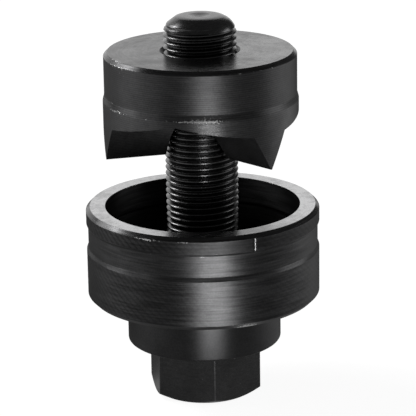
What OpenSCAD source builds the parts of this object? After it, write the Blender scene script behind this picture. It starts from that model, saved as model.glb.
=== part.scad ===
// Knockout punch for round holes in sheet metal.
// A three-point punch screws onto a draw stud. Turning the stud's hex pulls the punch through
// the sheet and into the cup of the die, and a shrouded thrust ball bearing takes the load.
// The part stands on its hex with +Z up along the stud. All sizes are in millimetres.

/* [Draw stud] */
// Diameter over the crests of the stud's thread
stud_d = 18.9; // [17:0.1:19.4]
// Length of the stud from the end of its hex to its domed tip
stud_length = 101; // [94:0.1:112]
// Radius of the rounding round the domed tip
tip_round = 5; // [3:0.1:6]
// Diameter of the shallow dish turned into the tip
tip_dish_d = 5.8; // [4:0.1:7]
// Included angle of that dish
tip_dish_angle = 160; // [140:1:170]
// Width across the flats of the hex
hex_flats = 27; // [24:0.5:30]
// Height of the hex
hex_height = 14.3; // [10:0.1:18]
// Width of the chamfer that breaks the hex's corners, measured outwards from its flat end
hex_chamfer = 2.6; // [1.5:0.1:4]
// Slope of that chamfer above the horizontal
hex_chamfer_angle = 30; // [15:1:45]
// Direction in which one corner of the hex points, from the X axis
hex_direction = -80.8; // [-90:0.1:-30]

/* [Thrust bearing] */
// Height of the bearing between the hex and the die
bearing_height = 12.1; // [10:0.1:14]
// Outside diameter of the shroud
shroud_d = 40.4; // [39:0.1:44]
// Wall of the shroud
shroud_wall = 1.2; // [0.8:0.1:1.5]
// Width of the lip that the shroud turns in under the lower race
shroud_lip = 1.4; // [1:0.1:2]
// Width of the chamfer on the shroud's outer edges
shroud_edge = 0.5; // [0.3:0.1:0.7]
// Diameter of one ball
ball_d = 5.5; // [4.5:0.1:5.8]
// Number of balls
ball_count = 13; // [8:1:13]
// Diameter of the circle that the balls run on
ball_circle_d = 29; // [28:0.1:30]
// Depth of each race's groove
groove_depth = 1.2; // [0.8:0.1:1.5]
// Thickness of the plate that keeps the balls apart
cage_thickness = 1.6; // [1:0.1:2]
// Width of the cage's rims inside and outside its pockets
cage_rim = 0.9; // [0.6:0.1:1]

/* [Die] */
// Outside diameter of the die
die_d = 61; // [58:0.1:70]
// Height of the die
die_height = 24.5; // [21:0.1:32]
// Thickness of the die's floor
die_floor = 5.9; // [4:0.1:8]
// Height of the cutting land round the top of the die's bore
die_land = 7; // [4:0.1:10]
// Depth of the relief in the bore below that land
die_relief = 0.7; // [0.3:0.1:1.2]
// Width of the chamfer round the die's rim
die_rim_chamfer = 1; // [0.5:0.1:1.5]
// Width of the chamfer round the die's foot
die_foot_chamfer = 1.2; // [0.5:0.1:1.5]
// Height of the knurled band under the rim chamfer
upper_band = 3.25; // [2:0.05:5]
// Width of the smooth groove between the two knurled bands
band_groove = 5.55; // [4:0.05:7]
// Depth of that groove
band_groove_depth = 0.45; // [0.3:0.05:1]
// Height of the slope from the upper band into the groove
groove_upper_slope = 0.6; // [0.4:0.05:1]
// Height of the slope from the groove to the lower band
groove_lower_slope = 1.1; // [0.5:0.05:1.5]

/* [Punch] */
// Diameter of the hole that the punch cuts
hole_d = 50.5; // [46:0.1:52]
// Depth by which the punch's body stays behind its cutting land
body_relief = 0.41; // [0.2:0.01:0.8]
// Width of the chamfer round the punch's top
punch_edge = 1; // [0.5:0.1:1.5]
// Depth from the punch's top to where it starts to widen
flare_depth = 11; // [8:0.1:12]
// Height over which the body widens to the cutting land
flare_height = 1.55; // [1:0.05:2]
// Depth from the punch's top to the highest point of its cutting edge
valley_depth = 14.1; // [13:0.1:16]
// Slope of the cutting edge on each side of that point
valley_slope = 11.4; // [8:0.1:14]
// Depth from the punch's top to the tips of its teeth
tip_depth = 27.05; // [24:0.05:30]
// Included angle of a tooth
tooth_angle = 60; // [50:1:70]
// Width of the ground flat along a tooth's ridge
tooth_flat = 0.3; // [0.2:0.05:0.6]
// Number of teeth
tooth_count = 3; // [2:1:4]
// Direction in which the first tooth points, from the X axis
tooth_direction = -46; // [-60:1:60]
// Width of the countersink at the top of the punch's threaded bore
bore_chamfer = 0.9; // [0.5:0.1:1.5]
// Length of stud that stands out above the punch
stud_reach = 9.05; // [6:0.05:12]

/* [Fits] */
// Gap between the stud and what runs on it: the punch's thread and the lower race
stud_fit = 0.05; // [0.02:0.01:0.1]
// Gap between the stud and what it only passes through: the die and the upper race
stud_clearance = 0.55; // [0.3:0.05:1]
// Gap between the punch's cutting land and the die's bore
cutting_gap = 0.2; // [0.1:0.05:0.4]
// Gap between the balls and the grooves that they roll in
ball_fit = 0.1; // [0.05:0.01:0.15]
// Gap between a ball and its pocket in the cage
pocket_fit = 0.15; // [0.1:0.01:0.2]
// Gap between the upper race and the shroud that is pushed over it
shroud_fit = 0.02; // [0.01:0.01:0.05]
// Gap between the lower race and the shroud that it turns inside
shroud_clearance = 0.4; // [0.3:0.05:0.6]

/* [Hidden] */
$fn = 96;

stud_r = stud_d / 2;
ball_r = ball_d / 2;
ball_circle_r = ball_circle_d / 2;
die_r = die_d / 2;
land_r = hole_d / 2;
body_r = land_r - body_relief;
stud_bore_r = stud_r + stud_fit;
stud_passage_r = stud_r + stud_clearance;
die_bore_r = land_r + cutting_gap;
shroud_bore_r = shroud_d / 2 - shroud_wall;
pocket_r = ball_r + pocket_fit;

// Levels up the stud's axis
bearing_foot = hex_height;
bearing_top = bearing_foot + bearing_height;
ball_level = bearing_foot + bearing_height / 2;
punch_top = stud_length - stud_reach;
tip_level = punch_top - tip_depth;

// Bearing sizes that follow from its balls
race_gap = ball_d - 2 * groove_depth;
race_thickness = (bearing_height - race_gap) / 2;
lip_bore_r = shroud_bore_r - shroud_lip;

// Die levels above its foot
bore_level = die_height - die_land;
upper_band_foot = die_height - die_rim_chamfer - upper_band;
groove_top = upper_band_foot - groove_upper_slope;
groove_foot = groove_top - band_groove;
lower_band_top = groove_foot - groove_lower_slope;

// How far a cutting solid reaches past the faces that it cuts
overcut = 1;
half_space = 4 * land_r;

function ball_name(i) = str("bearing_ball_", i < 10 ? "0" : "", i);

// Everything on one side of an upright plane that leans back by an angle as it rises
module leaning_half_space(lean) {
  rotate([-lean, 0, 0])
    translate([-half_space, 0, -half_space])
      cube(2 * half_space);
}

// Everything below a plane that falls away by an angle towards +Y
module sloping_half_space(fall) {
  rotate([-fall, 0, 0])
    translate([-half_space, -half_space, -2 * half_space])
      cube(2 * half_space);
}

// The space between one tooth and the next: two tooth flanks under a roof with two slopes
module tooth_valley() {
  tooth_pitch = 360 / tooth_count;
  intersection() {
    translate([0, tooth_flat / 2, tip_level])
      leaning_half_space(tooth_angle / 2);
    rotate(tooth_pitch)
      mirror([0, 1, 0])
        translate([0, tooth_flat / 2, tip_level])
          leaning_half_space(tooth_angle / 2);
    intersection_for(side = [-1, 1])
      rotate(tooth_pitch / 2)
        translate([0, 0, punch_top - valley_depth])
          sloping_half_space(side * valley_slope);
  }
}

// A 45 degree cone that opens the mouth of the bore
module bore_countersink() {
  height = bore_chamfer + overcut;
  translate([0, 0, -bore_chamfer])
    cylinder(h = height, r1 = stud_bore_r, r2 = stud_bore_r + height);
}

module punch() {
  color("#2b2b2c")
    difference() {
      translate([0, 0, punch_top])
        rotate_extrude()
          polygon([
            [0, 0],
            [0, -tip_depth],
            [land_r, -tip_depth],
            [land_r, -flare_depth - flare_height],
            [body_r, -flare_depth],
            [body_r, -punch_edge],
            [body_r - punch_edge, 0],
          ]);
      for (i = [0:tooth_count - 1])
        rotate(tooth_direction + i * 360 / tooth_count)
          tooth_valley();
      translate([0, 0, tip_level - overcut])
        cylinder(h = tip_depth + 2 * overcut, r = stud_bore_r);
      translate([0, 0, punch_top])
        bore_countersink();
    }
}

// A cup: cutting land and relieved bore inside, two bands and a groove outside
module die() {
  color("#262627")
    translate([0, 0, bearing_top])
      rotate_extrude()
        polygon([
          [stud_passage_r, 0],
          [die_r - die_foot_chamfer, 0],
          [die_r, die_foot_chamfer],
          [die_r, lower_band_top],
          [die_r - band_groove_depth, groove_foot],
          [die_r - band_groove_depth, groove_top],
          [die_r, upper_band_foot],
          [die_r, die_height - die_rim_chamfer],
          [die_r - die_rim_chamfer, die_height],
          [die_bore_r, die_height],
          [die_bore_r, bore_level],
          [die_bore_r + die_relief, bore_level - die_relief],
          [die_bore_r + die_relief, die_floor],
          [stud_passage_r, die_floor],
        ]);
}

// Six-sided head with its lower corners turned off
module stud_hex() {
  corner_r = hex_flats / sqrt(3);
  intersection() {
    rotate(hex_direction)
      cylinder(h = hex_height, r = corner_r, $fn = 6);
    rotate_extrude()
      polygon([
        [0, 0],
        [corner_r - hex_chamfer, 0],
        [corner_r + overcut, (hex_chamfer + overcut) * tan(hex_chamfer_angle)],
        [corner_r + overcut, hex_height],
        [0, hex_height],
      ]);
  }
}

// Round stud with a torus-rounded tip
module stud_shank() {
  flat_r = stud_r - tip_round;
  cylinder(h = stud_length - tip_round, r = stud_r);
  cylinder(h = stud_length, r = flat_r);
  translate([0, 0, stud_length - tip_round])
    rotate_extrude()
      intersection() {
        translate([flat_r, 0])
          circle(r = tip_round);
        square([stud_r, tip_round]);
      }
}

module draw_stud() {
  tip_dish_depth = tip_dish_d / 2 / tan(tip_dish_angle / 2);
  color("#1f1f20")
    difference() {
      union() {
        stud_hex();
        stud_shank();
      }
      translate([0, 0, stud_length - tip_dish_depth])
        cylinder(h = tip_dish_depth, r1 = 0, r2 = tip_dish_d / 2);
    }
}

// The ring-shaped groove that the balls roll in
module ball_track() {
  translate([0, 0, ball_level])
    rotate_extrude()
      translate([ball_circle_r, 0])
        circle(r = ball_r + ball_fit);
}

module bearing_upper_race() {
  color("#8c8c8e")
    difference() {
      translate([0, 0, bearing_top - race_thickness])
        rotate_extrude()
          translate([stud_passage_r, 0])
            square([shroud_bore_r - shroud_fit - stud_passage_r, race_thickness]);
      ball_track();
    }
}

// Stepped at its foot, so that it turns clear of the shroud's lip
module bearing_lower_race() {
  rim_r = shroud_bore_r - shroud_clearance;
  step_r = lip_bore_r - shroud_clearance;
  step_height = shroud_wall + shroud_clearance;
  color("#8c8c8e")
    difference() {
      translate([0, 0, bearing_foot])
        rotate_extrude()
          polygon([
            [stud_bore_r, 0],
            [step_r, 0],
            [step_r, step_height],
            [rim_r, step_height],
            [rim_r, race_thickness],
            [stud_bore_r, race_thickness],
          ]);
      ball_track();
    }
}

// Sleeve pushed over the upper race, with a lip turned in under the lower one
module bearing_shroud() {
  outer_r = shroud_d / 2;
  color("#232324")
    translate([0, 0, bearing_foot])
      rotate_extrude()
        polygon([
          [lip_bore_r, 0],
          [outer_r - shroud_edge, 0],
          [outer_r, shroud_edge],
          [outer_r, bearing_height - shroud_edge],
          [outer_r - shroud_edge, bearing_height],
          [shroud_bore_r, bearing_height],
          [shroud_bore_r, shroud_wall],
          [lip_bore_r, shroud_wall],
        ]);
}

// Flat ring with one round pocket for each ball
module ball_cage() {
  rim_reach = pocket_r + cage_rim;
  color("#a8884a")
    translate([0, 0, ball_level - cage_thickness / 2])
      difference() {
        cylinder(h = cage_thickness, r = ball_circle_r + rim_reach);
        translate([0, 0, -overcut])
          cylinder(h = cage_thickness + 2 * overcut, r = ball_circle_r - rim_reach);
        for (i = [1:ball_count])
          rotate(i * 360 / ball_count)
            translate([ball_circle_r, 0, -overcut])
              cylinder(h = cage_thickness + 2 * overcut, r = pocket_r);
      }
}

module bearing_ball(i) {
  color("#c9c9cc")
    rotate(i * 360 / ball_count)
      translate([ball_circle_r, 0, ball_level])
        sphere(r = ball_r);
}

punch();
die();
draw_stud();
bearing_upper_race();
bearing_lower_race();
bearing_shroud();
ball_cage();
for (i = [1:ball_count])
  bearing_ball(i);
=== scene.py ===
"""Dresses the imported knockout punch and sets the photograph's camera and light.

Four pieces carry the looks: the threaded draw stud, the punch with its three ground teeth, the knurled cup
die and the bearing's shroud. Each is a numpy surface that keeps the form of the solid it stands for and adds
what is too fine for it: thread, knurl, scribed mark and broken edges. The races, cage and balls inside the
shroud keep their solids. Lengths in the classes are in millimetres, as on a workshop drawing, and angles are
in degrees; the meshes are in metres.
"""

from __future__ import annotations

import logging
import math
from dataclasses import dataclass
from enum import Enum
from functools import reduce
from typing import Sequence, Union

import bpy
import numpy as np
from mathutils import Matrix, Quaternion, Vector


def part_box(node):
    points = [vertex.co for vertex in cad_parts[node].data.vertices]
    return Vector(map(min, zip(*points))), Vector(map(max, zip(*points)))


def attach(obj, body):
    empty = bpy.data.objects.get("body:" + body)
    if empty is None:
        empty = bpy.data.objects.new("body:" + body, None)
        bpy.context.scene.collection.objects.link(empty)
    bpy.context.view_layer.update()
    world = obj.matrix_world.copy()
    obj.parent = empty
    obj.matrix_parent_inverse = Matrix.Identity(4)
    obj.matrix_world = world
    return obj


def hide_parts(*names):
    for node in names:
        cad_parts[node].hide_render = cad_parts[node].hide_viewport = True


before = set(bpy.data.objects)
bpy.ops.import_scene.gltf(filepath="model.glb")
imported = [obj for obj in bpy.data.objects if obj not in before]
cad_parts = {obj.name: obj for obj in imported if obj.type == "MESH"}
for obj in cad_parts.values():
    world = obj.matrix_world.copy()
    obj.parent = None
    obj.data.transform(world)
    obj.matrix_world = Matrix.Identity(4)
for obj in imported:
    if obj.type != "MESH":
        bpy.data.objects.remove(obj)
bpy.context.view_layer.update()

MM = 0.001
PHOTO_PIXELS = 416
SENSOR_WIDTH = 36.0
# Angle between two faces above which their edge stays sharp
SHARP_ANGLE = math.radians(28)
# Width of the row beside a broken edge, and the largest share of its run that it takes
EDGE_BORDER = 0.22
BORDER_SHARE = 0.3
# Number of rows above which a run has no such rows
FINE_ROWS = 8
# Wear that every broken edge has
EDGE_WEAR = 0.06
# Share of a full turn that leads from along the tool marks to across them
QUARTER_TURN = 0.25
# Brightness of the paper to the camera, before the light that falls on it
WHITE_GLOW = 0.92
# Ranges of noise over which a pattern changes, and the usual octaves of finer noise
NARROW = (0.35, 0.65)
WIDE = (0.3, 0.7)
WIDEST = (0.25, 0.75)
OCTAVES = 2.0

Colour = tuple[float, float, float, float]
Socket = bpy.types.NodeSocket
Sockets = bpy.types.bpy_prop_collection
Source = Union[float, Socket]
Inputs = dict[Union[str, int], Union[float, Colour, Socket]]

WHITE: Colour = (1.0, 1.0, 1.0, 1.0)

log = logging.getLogger("knockout_punch")


class Body(Enum):
    """The bodies that carry new pieces."""

    DIE = "die"
    STUD = "draw_stud"
    PUNCH = "punch"


class Surface(Enum):
    """How much bare steel shows through the black oxide of a surface."""

    BLACK = 0.0
    LAPPED = 0.028
    # Hex corners rubbed thin, which also stand as a painted highlight along their edges
    RUBBED_SHEEN = 0.16
    FACED = 0.19
    SCRIBED = 0.2
    GROUND = 1.0


def unit(vectors: np.ndarray) -> np.ndarray:
    """Rows of an array scaled to length one."""
    return vectors / np.linalg.norm(vectors, axis=-1, keepdims=True)


def box_of(node: str) -> tuple[np.ndarray, np.ndarray]:
    """Lowest and highest corner of a solid, in millimetres."""
    low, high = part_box(node)
    return np.array(low) / MM, np.array(high) / MM


@dataclass(frozen=True)
class Corner:
    """A corner of a turned section, and the run from it to the next corner.

    Attributes:
        radius: Distance from the axis.
        height: Height above the frame's origin.
        broken: Radius of the arc that breaks the corner, or 0 where it stays sharp.
        leads: Surface of the run that leaves the corner.
        rows: Number of grid rows on that run.
        coarse: What that run adds to the roughness of the finish.
    """

    radius: float
    height: float
    broken: float = 0.0
    leads: Surface = Surface.BLACK
    rows: int = 1
    coarse: float = 0.0


@dataclass(frozen=True)
class Outline:
    """A section as grid rows.

    Attributes:
        radius: Distance of each row from the axis.
        height: Height of each row.
        run: Number of the corner whose run leaves each row.
        bare: Share of bare steel on the faces that leave each row.
        coarse: What those faces add to the roughness of the finish.
        corner: Number of the broken corner that each row belongs to, or -1 on the runs between them.
    """

    radius: np.ndarray
    height: np.ndarray
    run: np.ndarray
    bare: np.ndarray
    coarse: np.ndarray
    corner: np.ndarray


@dataclass(frozen=True)
class Stretch:
    """A stretch of the way round that differs from the rest.

    Attributes:
        direction: Direction of its middle, from the X axis.
        span: Angle from its middle to where it fades.
        share: How much it differs in its middle.
    """

    direction: float
    span: float
    share: float

    def shares(self, angle: np.ndarray) -> np.ndarray:
        """How much it differs at angles in radians: a bell curve over the angle from its middle."""
        away = (np.degrees(angle) - self.direction + 180) % 360 - 180
        return self.share * np.exp(-((away / self.span) ** 2))


@dataclass(frozen=True)
class Chip:
    """A stretch of an edge where the black is knocked off.

    Attributes:
        corner: Number of the corner in its section.
        stretch: Where it lies, and how much of the edge is bare in its middle.
        reach: Distance from the edge at which it ends.
    """

    corner: int
    stretch: Stretch
    reach: float = 0.3


def edge_wear(points: np.ndarray, corner: np.ndarray, chips: Sequence[Chip]) -> np.ndarray:
    """Wear of the broken edges: a little all round, and more at each chip.

    A chip's share falls along the edge as its stretch does, and linearly with the distance from the
    middle row of its edge.

    Args:
        points: Grid points in millimetres, rows by columns by three.
        corner: Number of the corner that each row belongs to, or -1.
        chips: The chipped stretches.

    Returns:
        Wear between 0 and 1, rows by columns.
    """
    wear = np.outer(corner >= 0, np.full(points.shape[1], EDGE_WEAR))
    for chip in chips:
        edge = points[np.flatnonzero(corner == chip.corner)]
        middle = edge[len(edge) // 2]
        along = chip.stretch.shares(np.arctan2(middle[:, 1], middle[:, 0]))
        wear += along * np.clip(1 - np.linalg.norm(points - middle, axis=-1) / chip.reach, 0, 1)
    return np.clip(wear, 0, 1)


def turned_outline(corners: Sequence[Corner], arc_steps: int = 4) -> Outline:
    """Section through corners, with each broken corner replaced by a tangent arc.

    At a corner with the angle 2h between its sides, an arc of radius p starts p / tan(h) along each side,
    and its centre lies p / sin(h) along the bisector. A point at the share t of the arc, which sweeps w, is
    the centre plus (sin((1 - t) w) a + sin(t w) b) / sin(w), where a and b lead to the arc's ends.

    Args:
        corners: The corners in order, anticlockwise with the radius to the right and the height upwards.
        arc_steps: Rows on each arc.

    Returns:
        The rows of the section, from the first corner to the last.
    """
    here = np.array([(c.radius, c.height) for c in corners])
    broken = np.array([c.broken for c in corners])
    back = unit(np.roll(here, 1, axis=0) - here)
    ahead = unit(np.roll(here, -1, axis=0) - here)
    half = np.arccos(np.clip((back * ahead).sum(axis=1), -1, 1)) / 2
    reach = (broken / np.tan(half))[:, None]
    centre = here + unit(back + ahead) * (broken / np.sin(half))[:, None]
    starts, ends = here + back * reach, here + ahead * reach
    sweep = np.pi - 2 * half
    rows, runs, owners = [], [], []
    for k, corner in enumerate(corners):
        share = np.linspace(0, 1, arc_steps + 1 if corner.broken else 1)[:, None]
        arc = (
            np.sin((1 - share) * sweep[k]) * (starts[k] - centre[k])
            + np.sin(share * sweep[k]) * (ends[k] - centre[k])
        ) / np.sin(sweep[k]) + centre[k]
        arc = arc if corner.broken else here[k : k + 1]
        onward = starts[(k + 1) % len(corners)] - ends[k]
        border = min(EDGE_BORDER / np.linalg.norm(onward), BORDER_SHARE)
        along = np.linspace(0, 1, corner.rows + 1)[1:-1]
        if corner.rows <= FINE_ROWS:
            along = np.unique(np.concatenate([[border], along, [1 - border]]))
        straight = ends[k] + along[:, None] * onward
        rows += [arc, straight]
        runs += [np.full(len(arc) - 1, k - 1), np.full(len(straight) + 1, k)]
        owners += [np.full(len(arc), k if corner.broken else -1), np.full(len(straight), -1)]
    points, run = np.concatenate(rows), np.concatenate(runs)
    shares = np.array([c.leads.value for c in corners])
    coarse = np.array([c.coarse for c in corners])
    return Outline(points[:, 0], points[:, 1], run, shares[run], coarse[run], np.concatenate(owners))


def revolved(radius: np.ndarray, angle: np.ndarray, height: np.ndarray) -> np.ndarray:
    """Points of a surface round the Z axis: x = r cos a, y = r sin a, z = h.

    Args:
        radius: Radii, of a shape that broadcasts to rows by columns.
        angle: Angles in radians, likewise.
        height: Heights, likewise.

    Returns:
        Points in millimetres, rows by columns by three.
    """
    radius, angle, height = np.broadcast_arrays(radius, angle, height)
    return np.stack([radius * np.cos(angle), radius * np.sin(angle), height], axis=-1)


def grid_quads(rows: int, columns: int, closed: bool) -> np.ndarray:
    """Four-sided faces between the rows and columns of a grid that is closed round its columns.

    Args:
        rows: Number of rows, which run up the outside of the section.
        columns: Number of columns, anticlockwise seen from above.
        closed: Whether the last row joins the first one.

    Returns:
        Vertex numbers, one line of four for each face, rows first.
    """
    index = np.arange(rows * columns).reshape(rows, columns)
    lower = index if closed else index[:-1]
    upper = np.roll(index, -1, axis=0)[: len(lower)]
    corners = [lower, np.roll(lower, -1, axis=1), np.roll(upper, -1, axis=1), upper]
    return np.stack(corners, axis=-1).reshape(-1, 4)


@dataclass(frozen=True)
class Climb:
    """Rows of a grid that climb like a thread, and so close on the row one turn higher.

    Attributes:
        first: First row that climbs.
        last: Last row that climbs.
        lead: Number of rows in one turn.
    """

    first: int
    last: int
    lead: int

    def level(self, rows: int, columns: int) -> np.ndarray:
        """Whether each face of a grid stays, because it does not close a climbing row."""
        row, column = np.divmod(np.arange(rows * columns), columns)
        return (column < columns - 1) | (row < self.first - 1) | (row > self.last)

    def seam(self, columns: int) -> list[list[int]]:
        """Faces that close the climbing rows: four-sided ones, and a many-sided one at each end.

        Args:
            columns: Number of columns of the grid.

        Returns:
            Vertex numbers of each face.
        """
        left, right = columns - 1, 0
        rows = columns * np.arange(self.first, self.last - self.lead)
        higher = rows + columns * self.lead
        sides = [rows + left, higher + right, higher + columns + right, rows + columns + left]
        quads = np.stack(sides, axis=1)
        rising = columns * np.arange(self.first, self.first + self.lead + 1) + right
        falling = columns * np.arange(self.last + 1, self.last - self.lead - 1, -1) + left
        below = columns * (self.first - 1)
        foot = [below + left, below + right, *rising.tolist(), columns * self.first + left]
        head = [columns * self.last + right, columns * (self.last + 1) + right, *falling.tolist()]
        return quads.tolist() + [foot, head]


def placed(name: str, data: bpy.types.ID) -> bpy.types.Object:
    """New object in the scene.

    Args:
        name: The object's name.
        data: Its mesh, lamp or lens.

    Returns:
        The object, at the origin.
    """
    made = bpy.data.objects.new(name, data)
    bpy.context.scene.collection.objects.link(made)
    return made


def smooth_mesh(name: str, points: np.ndarray, faces: list[list[int]]) -> bpy.types.Mesh:
    """Mesh that is shaded smooth.

    Args:
        name: The mesh's name.
        points: Its points in millimetres.
        faces: Vertex numbers of each face.

    Returns:
        The mesh.
    """
    mesh = bpy.data.meshes.new(name)
    mesh.from_pydata((points * MM).tolist(), [], faces)
    mesh.polygons.foreach_set("use_smooth", np.ones(len(faces), dtype=bool))
    return mesh


def lay_mesh(
    name: str,
    points: np.ndarray,
    face_marks: dict[str, np.ndarray],
    point_marks: dict[str, np.ndarray],
    poles: tuple[float, float] | None = None,
    climb: Climb | None = None,
) -> bpy.types.Object:
    """Mesh object from a grid, closed round its columns and along its section or by two poles.

    Args:
        name: The object's name.
        points: Grid points in millimetres, rows by columns by three.
        face_marks: Attributes with one value for each four-sided face.
        point_marks: Attributes with one value for each grid point.
        poles: Heights of the first and last point on the axis, where the section starts and ends there.
        climb: The rows that climb, if any.

    Returns:
        The object, at the origin with its place in its mesh, shaded smooth between its sharp edges.
    """
    rows, columns, _ = points.shape
    quads = grid_quads(rows, columns, closed=poles is None)
    places = points.reshape(-1, 3)
    caps: list[list[int]] = []
    if poles is not None:
        first = np.arange(columns)
        last = first + (rows - 1) * columns
        count = rows * columns
        places = np.concatenate([places, [[0, 0, poles[0]], [0, 0, poles[1]]]])
        lower = np.stack([np.roll(first, -1), first, np.full(columns, count)], axis=1)
        upper = np.stack([last, np.roll(last, -1), np.full(columns, count + 1)], axis=1)
        caps = np.concatenate([lower, upper]).tolist()
    if climb is not None:
        level = climb.level(len(quads) // columns, columns)
        quads = quads[level]
        face_marks = {mark: values.ravel()[level] for mark, values in face_marks.items()}
        caps += climb.seam(columns)
    mesh = smooth_mesh(name, places, quads.tolist() + caps)
    mesh.set_sharp_from_angle(angle=SHARP_ANGLE)
    for domain, marks, count in (
        ("FACE", face_marks, len(mesh.polygons)),
        ("POINT", point_marks, len(mesh.vertices)),
    ):
        for mark, values in marks.items():
            full = np.zeros(count, dtype=np.float32)
            full[: values.size] = values.ravel()
            mesh.attributes.new(mark, "FLOAT", domain).data.foreach_set("value", full)
    mesh.update()
    return placed(name, mesh)


class NodeSheet:
    """One material's shader nodes, placed and linked by short calls."""

    def __init__(self, name: str) -> None:
        """Start an empty material.

        Args:
            name: Name of the material.
        """
        self.material = bpy.data.materials.new(name)
        self.material.use_nodes = True
        self.tree = self.material.node_tree
        self.tree.nodes.clear()

    def node(self, kind: str, inputs: Inputs, **settings: object) -> bpy.types.Node:
        """Add a node.

        Args:
            kind: The node's type.
            inputs: Values or links for its sockets, by name or number.
            **settings: Properties of the node.

        Returns:
            The new node.
        """
        made = self.tree.nodes.new(kind)
        for key, value in settings.items():
            setattr(made, key, value)
        for key, value in inputs.items():
            if isinstance(value, Socket):
                self.tree.links.new(value, made.inputs[key])
            else:
                made.inputs[key].default_value = value
        return made

    def math(self, operation: str, *terms: Source, clamp: bool = False) -> Socket:
        """Result of a Math node on up to three terms."""
        made = self.node("ShaderNodeMath", dict(enumerate(terms)), operation=operation, use_clamp=clamp)
        return made.outputs[0]

    def product(self, *factors: Source) -> Socket:
        """Product of two or more factors."""
        return reduce(lambda first, second: self.math("MULTIPLY", first, second), factors)

    def ramp(self, value: Source, low: float, high: float, to_low: float, to_high: float) -> Socket:
        """Value carried linearly from one range to another and held at its ends."""
        made = self.node("ShaderNodeMapRange", dict(enumerate((value, low, high, to_low, to_high))))
        return made.outputs[0]

    def vary(self, noise: Socket, share: float, over: tuple[float, float] = WIDE) -> Socket:
        """Factor that rises with a noise over a range of it, from 1 - share to 1 + share."""
        return self.ramp(noise, *over, 1 - share, 1 + share)

    def blend(self, share: Source, first: Socket | Colour, second: Socket | Colour) -> Socket:
        """Colour between two colours by a share."""
        made = self.node("ShaderNodeMix", {0: share, 6: first, 7: second}, data_type="RGBA")
        return made.outputs[2]

    def mark(self, name: str) -> Socket:
        """Value of a mesh attribute."""
        made = self.node("ShaderNodeAttribute", {}, attribute_name=name, attribute_type="GEOMETRY")
        return made.outputs["Fac"]

    def parts(self) -> Sockets:
        """The three Object coordinates of a point."""
        place = self.node("ShaderNodeTexCoord", {}).outputs["Object"]
        return self.node("ShaderNodeSeparateXYZ", {"Vector": place}).outputs

    def from_axis(self, parts: Sockets) -> Socket:
        """Distance from the Z axis: the root of the sum of the squares of X and Y."""
        squares = [self.math("MULTIPLY", parts[name], parts[name]) for name in ("X", "Y")]
        return self.math("SQRT", self.math("ADD", *squares))

    def grain(self, size: float, detail: float = OCTAVES) -> Socket:
        """Even noise on Object coordinates.

        Args:
            size: Size of a patch in millimetres.
            detail: Octaves of finer noise.

        Returns:
            Noise between 0 and 1.
        """
        place = self.node("ShaderNodeTexCoord", {}).outputs["Object"]
        made = self.node(
            "ShaderNodeTexNoise",
            {"Vector": place, "Scale": 1 / (size * MM), "Detail": detail},
            noise_dimensions="3D",
        )
        return made.outputs[0]

    def turning(self, pitch: float, breaks: float) -> Socket:
        """Noise in rings round the Z axis, as a lathe tool leaves it on walls and faces.

        The noise is read in four dimensions: the two parts of the direction from the axis, which change
        slowly, and the radius and the height, which change with the pitch of the marks.

        Args:
            pitch: Distance between tool marks in millimetres.
            breaks: How often the marks change on their way round.

        Returns:
            Noise between 0 and 1.
        """
        parts = self.parts()
        radius = self.math("MAXIMUM", self.from_axis(parts), MM)
        spread = self.math("DIVIDE", breaks, radius)
        ring = self.node("ShaderNodeCombineXYZ", {
            "X": self.math("MULTIPLY", parts["X"], spread),
            "Y": self.math("MULTIPLY", parts["Y"], spread),
            "Z": self.math("DIVIDE", radius, pitch * MM),
        }).outputs[0]
        level = self.math("DIVIDE", parts["Z"], pitch * MM)
        made = self.node(
            "ShaderNodeTexNoise",
            {"Vector": ring, "W": level, "Scale": 1.0, "Detail": OCTAVES},
            noise_dimensions="4D",
        )
        return made.outputs[0]

    def rings(self, pitch: float) -> Socket:
        """Even turns of a lathe tool up a wall: the sine of the height over the pitch, between -1 and 1."""
        return self.math("SINE", self.math("MULTIPLY", self.parts()["Z"], 2 * math.pi / (pitch * MM)))

    def finish(self, shader: bpy.types.Node) -> bpy.types.Material:
        """Link a shader to the material's output and return the material."""
        output = self.tree.nodes.new("ShaderNodeOutputMaterial")
        self.tree.links.new(shader.outputs[0], output.inputs["Surface"])
        return self.material


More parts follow.
